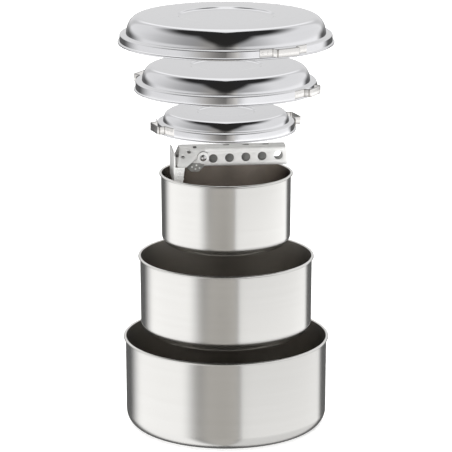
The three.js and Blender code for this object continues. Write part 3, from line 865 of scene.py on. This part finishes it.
def channel(half_width, web, lips, rounding, start, end):
    """Open folded sheet: web is the height of its flat side, lips of its two edges."""
    corners = [
        (-half_width, lips, 0),
        (-half_width, web, rounding),
        (half_width, web, rounding),
        (half_width, lips, 0),
    ]
    outer = rounded(corners, 8)
    side = 1 if lips > web else -1
    inner = beside(outer, side * SHEET)
    return prism([*outer, *reversed(inner)], "X", start, end)


# %% [markdown]
# ## The lifter's sizes
# The two arms share the sheet's thickness and the rivet. Along the handles everything is measured
# from the rivet, so one table of plain names serves both arms.

# %% Lifter sizes
SHEET = 1.4 * MM
HANDLE_END = 85.2 * MM
UPPER_END = 83.7 * MM
UPPER_HALF = 10 * MM
UPPER_TOP = 10.7 * MM
UPPER_FOOT = 6.1 * MM
UPPER_ROUNDING = 4.5 * MM
LOWER_HALF = 8.2 * MM
LOWER_ROUNDING = 4 * MM
LOWER_TOP = 6.8 * MM
LOWER_FLOOR = -9.6 * MM
EAR_RADIUS = 6 * MM
EAR_OUT = 11.4 * MM
NOTCH_RADIUS = 7 * MM
TONGUE_HALF = 6.4 * MM
TONGUE_RADIUS = 5 * MM
BORE_RADIUS = 2.5 * MM
JAW_X = -29.1 * MM
JAW_LOW = -22.8 * MM
JAW_TOP = 7 * MM
JAW_HALF = 25.9 * MM
LIP_LENGTH = 9.5 * MM
LIP_TOP = -6 * MM
NECK_TOP = 0.4 * MM
NECK_END = -9 * MM
CHEEK_LOW = -14.4 * MM
RIDGE_X = -23.3 * MM
HEAD_TIP = -27 * MM
HEAD_WIDTH = 9 * MM
HEAD_RUN = 15.1 * MM
HEAD_DROP = 15.3 * MM
EDGE_BEVEL = 0.22 * MM
END_ROUNDING = 2 * MM
PLATE_ROUNDING = 3 * MM
LIP_FOOT_IN = 5 * MM
GRIP_HOLES = {"count": 5, "x": 10.4, "z": -1.5, "step_x": 16.5, "step_z": 0.5, "radius": 4.5}
HEAD_HOLES = {"count": 3, "x": -8, "z": 2.4, "step_x": -6.2, "step_z": -6.1, "radius": 2.1}
SLOTS = {"count": 3, "x": 24.2, "step_x": 20, "half": 1.5, "radius": 2}
CHEEK = {"start": -17, "end": 1, "top": -5.6, "round_from": -11, "round_to": -5, "radius": 2.5}
THROUGH = 0.02


def shade_inward_faces(piece):
    """Paints shade with the dark aluminium copy on the inside of a channel, under its top, and on
    the stop plates below it.
    """
    piece.data.materials.append(tumbled_aluminium)
    piece.data.materials.append(painted_shade_aluminium)
    inward = 0
    for face in piece.data.polygons:
        middle = face.center
        in_handle = middle.x > NECK_END and LOWER_FLOOR < middle.z < UPPER_TOP
        faces_middle = middle.y * face.normal.y < -0.3 * abs(middle.y)
        under_top = face.normal.z < -0.3 and middle.z > 0
        on_stop_plate = middle.z < LOWER_FLOOR and middle.x > CHEEK["start"] * MM - 1 * MM
        if in_handle and (faces_middle or under_top) or on_stop_plate:
            face.material_index = 1
            inward += 1
    print(piece.name, "inward faces", inward)


def finish_arm(piece, body, node):
    soften = piece.modifiers.new("soften", "BEVEL")
    soften.width, soften.segments = EDGE_BEVEL, 2
    soften.limit_method, soften.angle_limit = "ANGLE", math.radians(40)
    apply_modifiers(piece)
    shade_inward_faces(piece)
    piece.data.transform(lifter_place)
    piece.data.shade_smooth()
    return finish_piece(piece, body, [node], 30)


# %% [markdown]
# ## The lower arm
# A channel that is open at the top, with five grip holes in its near side, round ears for the
# rivet, two stop plates below them, and a wide jaw plate that hooks over the edge of a pot. Only
# the last grip hole goes through the far side too.

# %% Lower arm
def lower_arm():
    outline = [
        Vector((JAW_X, LOWER_FLOOR)),
        Vector((HANDLE_END, LOWER_FLOOR)),
        *arc((HANDLE_END - END_ROUNDING, LOWER_TOP - END_ROUNDING), END_ROUNDING, 0, 90, 6),
        Vector((EAR_RADIUS, LOWER_TOP)),
        *arc((0, 0), EAR_RADIUS, 45, 180, 14),
        Vector((NECK_END, NECK_TOP)),
        Vector((JAW_X, NECK_TOP)),
    ]
    start = JAW_X - SHEET / 2
    lips = LOWER_TOP + 1 * MM
    folded = channel(LOWER_HALF, LOWER_FLOOR, lips, LOWER_ROUNDING, start, HANDLE_END)
    arm = as_object("lifter_lower_arm_stamping", folded)
    combine(arm, "INTERSECT", prism(outline, "Y", -UPPER_HALF, UPPER_HALF))
    last = GRIP_HOLES["count"] - 1
    cutters = [
        prism(hole, "Y", -THROUGH, THROUGH if i == last else 0)
        for i, hole in enumerate(hole_row(GRIP_HOLES, 32))
    ]
    combine(arm, "DIFFERENCE", merged(*cutters))
    combine(arm, "UNION", pair(circle(0, 0, EAR_RADIUS, 48), LOWER_HALF - SHEET, EAR_OUT))
    side, top, radius = CHEEK["start"] * MM, CHEEK["top"] * MM, CHEEK["radius"] * MM
    low = CHEEK_LOW + radius
    cheek = [
        Vector((side, top)),
        Vector((side, LOWER_FLOOR)),
        *arc((CHEEK["round_from"] * MM, low), radius, 220, 270, 5),
        *arc((CHEEK["round_to"] * MM, low), radius, 270, 320, 5),
        Vector((CHEEK["end"] * MM, LOWER_FLOOR)),
        Vector((CHEEK["end"] * MM, top)),
    ]
    combine(arm, "UNION", pair(cheek, LOWER_HALF - SHEET, LOWER_HALF))
    combine(arm, "DIFFERENCE", prism(circle(0, 0, BORE_RADIUS), "Y", -THROUGH, THROUGH))
    back = JAW_X - SHEET
    plate = [
        *arc((PLATE_ROUNDING - JAW_HALF, JAW_TOP - PLATE_ROUNDING), PLATE_ROUNDING, 180, 90, 6),
        *arc((JAW_HALF - PLATE_ROUNDING, JAW_TOP - PLATE_ROUNDING), PLATE_ROUNDING, 90, 0, 6),
        Vector((JAW_HALF, JAW_LOW)),
        Vector((-JAW_HALF, JAW_LOW)),
    ]
    combine(arm, "UNION", prism(plate, "X", back, JAW_X))
    lip_foot = (JAW_X + LIP_LENGTH - LIP_FOOT_IN, JAW_LOW + PLATE_ROUNDING)
    lip = [
        Vector((back, JAW_LOW)),
        *arc(lip_foot, PLATE_ROUNDING, -90, -15, 6),
        Vector((JAW_X + LIP_LENGTH, LIP_TOP)),
        Vector((back, LIP_TOP)),
    ]
    combine(arm, "UNION", pair(lip, JAW_HALF - SHEET, JAW_HALF))
    return finish_arm(arm, "lifter_lower", "lifter_lower_arm")


lower_arm()


# %% [markdown]
# ## The upper arm
# A wider channel turned upside down over the first. Its head spreads into two sloping sides that
# press a pot's rim against the jaw plate. Three short slots in the top lighten it, and three holes
# run down the near sloping side.

# %% Upper arm
HEAD_SLOPE = math.atan2(HEAD_DROP, HEAD_RUN)


def onto_slope(solid):
    """Moves a solid drawn upright (x along, -z down the slope) to the near side of the head."""
    inner = UPPER_ROUNDING - SHEET
    y = -(UPPER_HALF - UPPER_ROUNDING) - inner * math.sin(HEAD_SLOPE)
    z = UPPER_TOP - UPPER_ROUNDING + inner * math.cos(HEAD_SLOPE)
    lean = Matrix.Rotation(HEAD_SLOPE - math.pi / 2, 4, "X")
    bmesh.ops.transform(solid, matrix=Matrix.Translation((0, y, z)) @ lean, verts=solid.verts)
    return solid


def sloping_side(side):
    length = math.hypot(HEAD_RUN, HEAD_DROP)
    outline = [
        (RIDGE_X, 0),
        (HEAD_TIP, -length + 1.5 * MM),
        (HEAD_TIP + 1.5 * MM, -length),
        (HEAD_TIP + HEAD_WIDTH, -length),
        (-1 * MM, -6 * MM),
        (4 * MM, 0),
    ]
    sheet = onto_slope(prism(outline, "Y", -SHEET, 0))
    if side > 0:
        bmesh.ops.transform(sheet, matrix=Matrix.Scale(-1, 4, (0, 1, 0)), verts=sheet.verts)
        bmesh.ops.reverse_faces(sheet, faces=sheet.faces)
    return sheet


def head_holes():
    holes = hole_row(HEAD_HOLES, 24)
    return onto_slope(merged(*[prism(hole, "Y", -4 * MM, 4 * MM) for hole in holes]))


def upper_arm():
    outline = [
        Vector((RIDGE_X, UPPER_FOOT)),
        *arc((UPPER_END - END_ROUNDING, UPPER_FOOT + END_ROUNDING), END_ROUNDING, -90, 0, 8),
        Vector((UPPER_END, UPPER_TOP)),
        Vector((RIDGE_X, UPPER_TOP)),
    ]
    lips = UPPER_FOOT - 1 * MM
    folded = channel(UPPER_HALF, UPPER_TOP, lips, UPPER_ROUNDING, RIDGE_X, UPPER_END)
    arm = as_object("lifter_upper_arm_stamping", folded)
    combine(arm, "INTERSECT", prism(outline, "Y", -THROUGH, THROUGH))
    tongue = [
        *arc((0, 0), TONGUE_RADIUS, 180, 360, 20),
        Vector((TONGUE_RADIUS, UPPER_TOP - SHEET / 2)),
        Vector((-TONGUE_RADIUS, UPPER_TOP - SHEET / 2)),
    ]
    combine(arm, "UNION", pair(tongue, TONGUE_HALF - SHEET, TONGUE_HALF))
    for side in (-1, 1):
        combine(arm, "UNION", sloping_side(side))
    combine(arm, "DIFFERENCE", prism(circle(0, 0, BORE_RADIUS), "Y", -THROUGH, THROUGH))
    slots = []
    half, radius = SLOTS["half"] * MM, SLOTS["radius"] * MM
    for i in range(SLOTS["count"]):
        middle = (SLOTS["x"] + SLOTS["step_x"] * i) * MM
        right = arc((middle + half, 0), radius, -90, 90, 8)
        left = arc((middle - half, 0), radius, 90, 270, 8)
        slots.append(prism([*right, *left], "Z", UPPER_TOP - 4 * MM, UPPER_TOP + 4 * MM))
    combine(arm, "DIFFERENCE", merged(*slots))
    combine(arm, "DIFFERENCE", head_holes())
    combine(arm, "DIFFERENCE", pair(circle(0, 0, NOTCH_RADIUS, 48), LOWER_HALF, 2 * UPPER_HALF))
    return finish_arm(arm, "lifter_upper", "lifter_upper_arm")


upper_arm()


# %% [markdown]
# ## Grip studs
# Small round studs are struck into the jaw's side lips and the stop plates so that they don't slip
# on a pot's edge. They repeat, so a tree makes them: one low dome, flattened along the way that
# both sheets face, and instanced on rows of points. Each dome has few faces, because it is about
# two millimetres across.

# %% Stud tree
def stud_grid_tree():
    tree, start, end = new_tree(
        "stud_grid",
        "GeometryNodeTree",
        [
            ("Geometry", "NodeSocketGeometry", None),
            ("Stud Radius", FLOAT, 0.0009),
            ("Stud Height", FLOAT, 0.0004),
            ("Metal", "NodeSocketMaterial", None),
        ],
        [("Geometry", "NodeSocketGeometry")],
    )
    given = start.outputs
    dome_inputs = {"Segments": 12, "Rings": 6, "Radius": given["Stud Radius"]}
    dome = add(tree, "GeometryNodeMeshUVSphere", dome_inputs)
    ratio = math_node(tree, "DIVIDE", given["Stud Height"], given["Stud Radius"])
    squat = add(tree, "ShaderNodeCombineXYZ", {0: 1.0, 1: ratio, 2: 1.0})
    flat_inputs = {"Geometry": out(dome, "Mesh"), "Scale": out(squat)}
    flat = add(tree, "GeometryNodeTransform", flat_inputs)
    stud_inputs = {"Points": given["Geometry"], "Instance": out(flat)}
    studs = add(tree, "GeometryNodeInstanceOnPoints", stud_inputs)
    real = add(tree, "GeometryNodeRealizeInstances", {0: out(studs)})
    smooth = add(tree, "GeometryNodeSetShadeSmooth", {0: out(real)})
    coat_inputs = {"Geometry": out(smooth), "Material": given["Metal"]}
    coat = add(tree, "GeometryNodeSetMaterial", coat_inputs)
    tree.links.new(out(coat), end.inputs["Geometry"])
    return tree


STUD_ROWS = {"count": 5, "z": -20.8, "step": 3.1, "shift": 1.3}
STUD_COLUMNS = {"count": 3, "x": -28.2, "step": 2.7}
PLATE_STUDS = ((-14.5, -6.4), (-11, -9.6), (-6.5, -8), (-7.5, -11.8), (-3.4, -10.8))


def make_studs():
    places = []
    for side in (-1, 1):
        for row in range(STUD_ROWS["count"]):
            shift = STUD_ROWS["shift"] if row % 2 else 0
            z = STUD_ROWS["z"] + STUD_ROWS["step"] * row
            for column in range(STUD_COLUMNS["count"]):
                x = STUD_COLUMNS["x"] + STUD_COLUMNS["step"] * column + shift
                places.append((x * MM, side * JAW_HALF, z * MM))
        for x, z in PLATE_STUDS:
            places.append((x * MM, side * LOWER_HALF, z * MM))
    mesh = bpy.data.meshes.new("stud_places")
    mesh.from_pydata(places, [], [])
    values = {"Stud Radius": 0.95 * MM, "Stud Height": 0.45 * MM, "Metal": tumbled_aluminium}
    piece = evaluate_tree("lifter_jaw_studs", mesh, stud_grid_tree(), values)
    piece.data.transform(lifter_place)
    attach(piece, "lifter_lower")
    print(len(places), "studs")


make_studs()


# %% [markdown]
# ## The rivet
# One tubular rivet joins the arms. It is turned about its own axis, so it is made with the same
# tree as the pots and then laid on its side. Each end is a low dome with a small dimple.

# %% Rivet
RIVET_HEAD_RADIUS = 3.4 * MM
RIVET_HEAD_HEIGHT = 1.6 * MM
RIVET_SHANK_RADIUS = 2.2 * MM
RIVET_PAST_EAR = 1.9 * MM


def make_rivet():
    half = EAR_OUT + RIVET_PAST_EAR
    under_head = half - RIVET_HEAD_HEIGHT
    turns = [math.radians(28 + 62 * i / 8) for i in range(9)]
    dimple = [(0, 1.6), (1.0, 1.5), (1.3, 0.2)]
    dome = [
        *[Vector((radius * MM, half - depth * MM)) for radius, depth in dimple],
        *[
            Vector(
                (
                    RIVET_HEAD_RADIUS * math.sin(turn),
                    under_head + RIVET_HEAD_HEIGHT * math.cos(turn),
                )
            )
            for turn in turns
        ],
        Vector((RIVET_SHANK_RADIUS, under_head)),
    ]
    foot = [Vector((point.x, -point.y)) for point in reversed(dome)]
    outline = [*foot, *dome[::-1]]
    values = {
        "Steps Round": 48,
        "First Inside Row": 0,
        "Last Inside Row": 0,
        "Outside": rivet_steel,
        "Inside": rivet_steel,
    }
    piece = evaluate_tree("lifter_rivet", path_mesh("rivet", outline), turned_shell, values)
    piece.data.transform(lifter_place @ Matrix.Rotation(math.pi / 2, 4, "X"))
    return finish_piece(piece, "lifter_pin", ["lifter_pivot_pin"])


make_rivet()


# %% [markdown]
# ## The studio
# Steel shows the room more than itself. The room here is a plain soft one: a wide bright panel on
# each side, a grey strip between them where the camera stands, a dark gap behind each panel, a
# bright far wall, and a soft light overhead. It is written into the world as a rule of direction,
# with smooth edges, so that every reflection is clean. Turn is the direction round the set, from
# the camera, in degrees, and lift is the angle above the horizon. The panels are cut crisply for
# the pots' walls, which reflect what lies below the horizon, and widely for the lids' skirts,
# just above that. The floor is plain and pale. It is left out of glossy reflections, because the
# panels are meant to reach below it. The strip is tinted a little warm.

# %% World
def smooth_step(tree, value, start, end):
    inputs = {"Value": value, "From Min": start, "From Max": end}
    return out(add(tree, "ShaderNodeMapRange", inputs, interpolation_type="SMOOTHSTEP"))


def blend_value(tree, factor, first, second):
    mix = add(tree, "ShaderNodeMix", data_type="FLOAT")
    for name, source in (("Factor", factor), ("A", first), ("B", second)):
        tree.links.new(source, [s for s in mix.inputs if s.enabled and s.name == name][0])
    return out(mix)


def between(tree, value, start, end, soft_start, soft_end):
    rise = smooth_step(tree, value, start - soft_start / 2, start + soft_start / 2)
    fall = smooth_step(tree, value, end - soft_end / 2, end + soft_end / 2)
    return math_node(tree, "SUBTRACT", rise, fall)


def studio_world():
    world = bpy.data.worlds.new("studio")
    bpy.context.scene.world = world
    world.use_nodes = True
    tree = world.node_tree
    direction = out(add(tree, "ShaderNodeTexCoord"), "Generated")
    heading = add(tree, "ShaderNodeSeparateXYZ", {0: direction})
    ahead = math_node(tree, "MULTIPLY", out(heading, "Y"), -1.0)
    turn = math_node(tree, "ARCTAN2", out(heading, "X"), ahead)
    turn = math_node(tree, "MULTIPLY", turn, 180 / math.pi)
    away = math_node(tree, "ABSOLUTE", turn)
    lift = math_node(tree, "MULTIPLY", math_node(tree, "ARCSINE", out(heading, "Z")), 180 / math.pi)
    crisp_left = between(tree, turn, -130, -31, 30, 26)
    crisp_right = between(tree, turn, 14.5, 138, 5, 10)
    wide_left = between(tree, turn, -124, -29, 40, 56)
    wide_right = between(tree, turn, 14, 134, 30, 20)
    low_down = smooth_step(tree, lift, -16.2, -17.4)
    crisp_left = blend_value(tree, low_down, crisp_left, between(tree, turn, -130, -41, 30, 26))
    crisp_right = blend_value(tree, low_down, crisp_right, between(tree, turn, 17, 138, 5, 10))
    high_up = smooth_step(tree, lift, -13, -10)
    left = blend_value(tree, high_up, crisp_left, wide_left)
    right = blend_value(tree, high_up, crisp_right, wide_right)
    near_floor = smooth_step(tree, lift, -24, -8)
    dimmer = math_node(tree, "MULTIPLY_ADD", high_up, -0.46, 1.0)
    left_light = math_node(tree, "MULTIPLY_ADD", near_floor, 0.5, 1.18)
    right_light = math_node(tree, "MULTIPLY_ADD", near_floor, 1.25, 0.79)
    left = math_node(tree, "MULTIPLY", left, math_node(tree, "MULTIPLY", left_light, dimmer))
    right = math_node(tree, "MULTIPLY", right, math_node(tree, "MULTIPLY", right_light, dimmer))
    strip = between(tree, turn, -31, 14.5, 26, 5)
    strip_light = math_node(tree, "MULTIPLY_ADD", high_up, -0.36, 0.48)
    right_half = math_node(tree, "MULTIPLY", smooth_step(tree, turn, 0, 1.5), high_up)
    strip_light = math_node(tree, "MULTIPLY_ADD", right_half, 0.12, strip_light)
    sides = math_node(tree, "MULTIPLY_ADD", strip, strip_light, math_node(tree, "ADD", left, right))
    left_above = math_node(tree, "MULTIPLY", between(tree, turn, -155, -78, 20, 110), 0.6)
    left_rest = between(tree, turn, -155, -11, 20, 10)
    left_above = math_node(tree, "MULTIPLY_ADD", left_rest, 0.26, left_above)
    right_above = math_node(tree, "MULTIPLY", between(tree, turn, 45, 155, 60, 20), 0.55)
    right_rest = between(tree, turn, 9, 155, 10, 20)
    right_above = math_node(tree, "MULTIPLY_ADD", right_rest, 0.36, right_above)
    above_sides = math_node(tree, "ADD", left_above, right_above)
    sides = blend_value(tree, smooth_step(tree, lift, -5, 7), sides, above_sides)
    back = smooth_step(tree, away, 150, 166)
    back_light = math_node(tree, "MULTIPLY_ADD", smooth_step(tree, lift, 15, 28), 0.45, 0.70)
    back_light = math_node(tree, "MULTIPLY", back_light, smooth_step(tree, lift, -9, 3))
    level = math_node(tree, "ADD", math_node(tree, "MULTIPLY_ADD", back, back_light, sides), 0.10)
    ceiling = math_node(tree, "MULTIPLY_ADD", smooth_step(tree, away, -10, 50), 52.0, -2.0)
    behind = smooth_step(tree, away, 140, 170)
    ceiling = math_node(tree, "MULTIPLY_ADD", behind, 34.0, ceiling)
    above = math_node(tree, "SUBTRACT", lift, ceiling)
    under = math_node(tree, "SUBTRACT", 1.0, smooth_step(tree, above, -14, 12))
    total = math_node(tree, "MULTIPLY_ADD", level, under, 0.03)
    background = tree.nodes["Background"]
    green = math_node(tree, "MULTIPLY", total, math_node(tree, "MULTIPLY_ADD", strip, -0.03, 1.0))
    blue = math_node(tree, "MULTIPLY", total, math_node(tree, "MULTIPLY_ADD", strip, -0.08, 1.0))
    shade = add(tree, "ShaderNodeCombineColor", {0: total, 1: green, 2: blue})
    tree.links.new(out(shade), background.inputs["Color"])
    world.cycles_visibility.diffuse = False
    return world


studio_world()


# %% [markdown]
# The world doesn't light matt surfaces, so the floor is a little bright by itself, and an overhead
# light brightens it and the lifter from above. A weaker lamp in front lights the lifter's face.
# Both lamps are kept out of the metal's reflections, which the world already takes care of.

# %% Floor and lights
FLOOR_REACH = 12.0
FLOOR_DROP = 0.2 * MM
FLOOR_GLOW = 0.45
FRONT_LAMP = {"place": (-0.2, -1.9, 0.72), "aim": (0, 0, 0.28), "size": 0.7, "watts": 27}
OVERHEAD_SUN = {"angle": 80, "strength": 3.6}


def studio_floor():
    mesh = bpy.data.meshes.new("floor")
    around = ((-1, -1), (1, -1), (1, 1), (-1, 1))
    corners = [(x * FLOOR_REACH, y * FLOOR_REACH, -FLOOR_DROP) for x, y in around]
    mesh.from_pydata(corners, [], [(0, 1, 2, 3)])
    floor = bpy.data.objects.new("floor", mesh)
    bpy.context.scene.collection.objects.link(floor)
    material = bpy.data.materials.new("pale_floor")
    material.use_nodes = True
    shader = material.node_tree.nodes["Principled BSDF"]
    shader.inputs["Base Color"].default_value = (0.93, 0.93, 0.93, 1)
    shader.inputs["Roughness"].default_value = 0.9
    shader.inputs["Emission Color"].default_value = (1, 1, 1, 1)
    shader.inputs["Emission Strength"].default_value = FLOOR_GLOW
    mesh.materials.append(material)
    floor.visible_glossy = False
    return floor


def front_light():
    lamp = bpy.data.lights.new("front", "AREA")
    lamp.shape, lamp.size, lamp.energy = "DISK", FRONT_LAMP["size"], FRONT_LAMP["watts"]
    light = bpy.data.objects.new("front", lamp)
    light.location = FRONT_LAMP["place"]
    aim = Vector(FRONT_LAMP["aim"]) - light.location
    light.rotation_euler = aim.to_track_quat("-Z", "Y").to_euler()
    light.visible_glossy = False
    bpy.context.scene.collection.objects.link(light)
    return light


def overhead_light():
    lamp = bpy.data.lights.new("overhead", "SUN")
    lamp.angle = math.radians(OVERHEAD_SUN["angle"])
    lamp.energy = OVERHEAD_SUN["strength"]
    light = bpy.data.objects.new("overhead", lamp)
    light.location = (0, 0, 3.0)
    light.visible_glossy = False
    bpy.context.scene.collection.objects.link(light)
    return light


studio_floor()
overhead_light()
front_light()
bpy.context.scene.view_settings.view_transform = "Standard"
print("floor and lights placed")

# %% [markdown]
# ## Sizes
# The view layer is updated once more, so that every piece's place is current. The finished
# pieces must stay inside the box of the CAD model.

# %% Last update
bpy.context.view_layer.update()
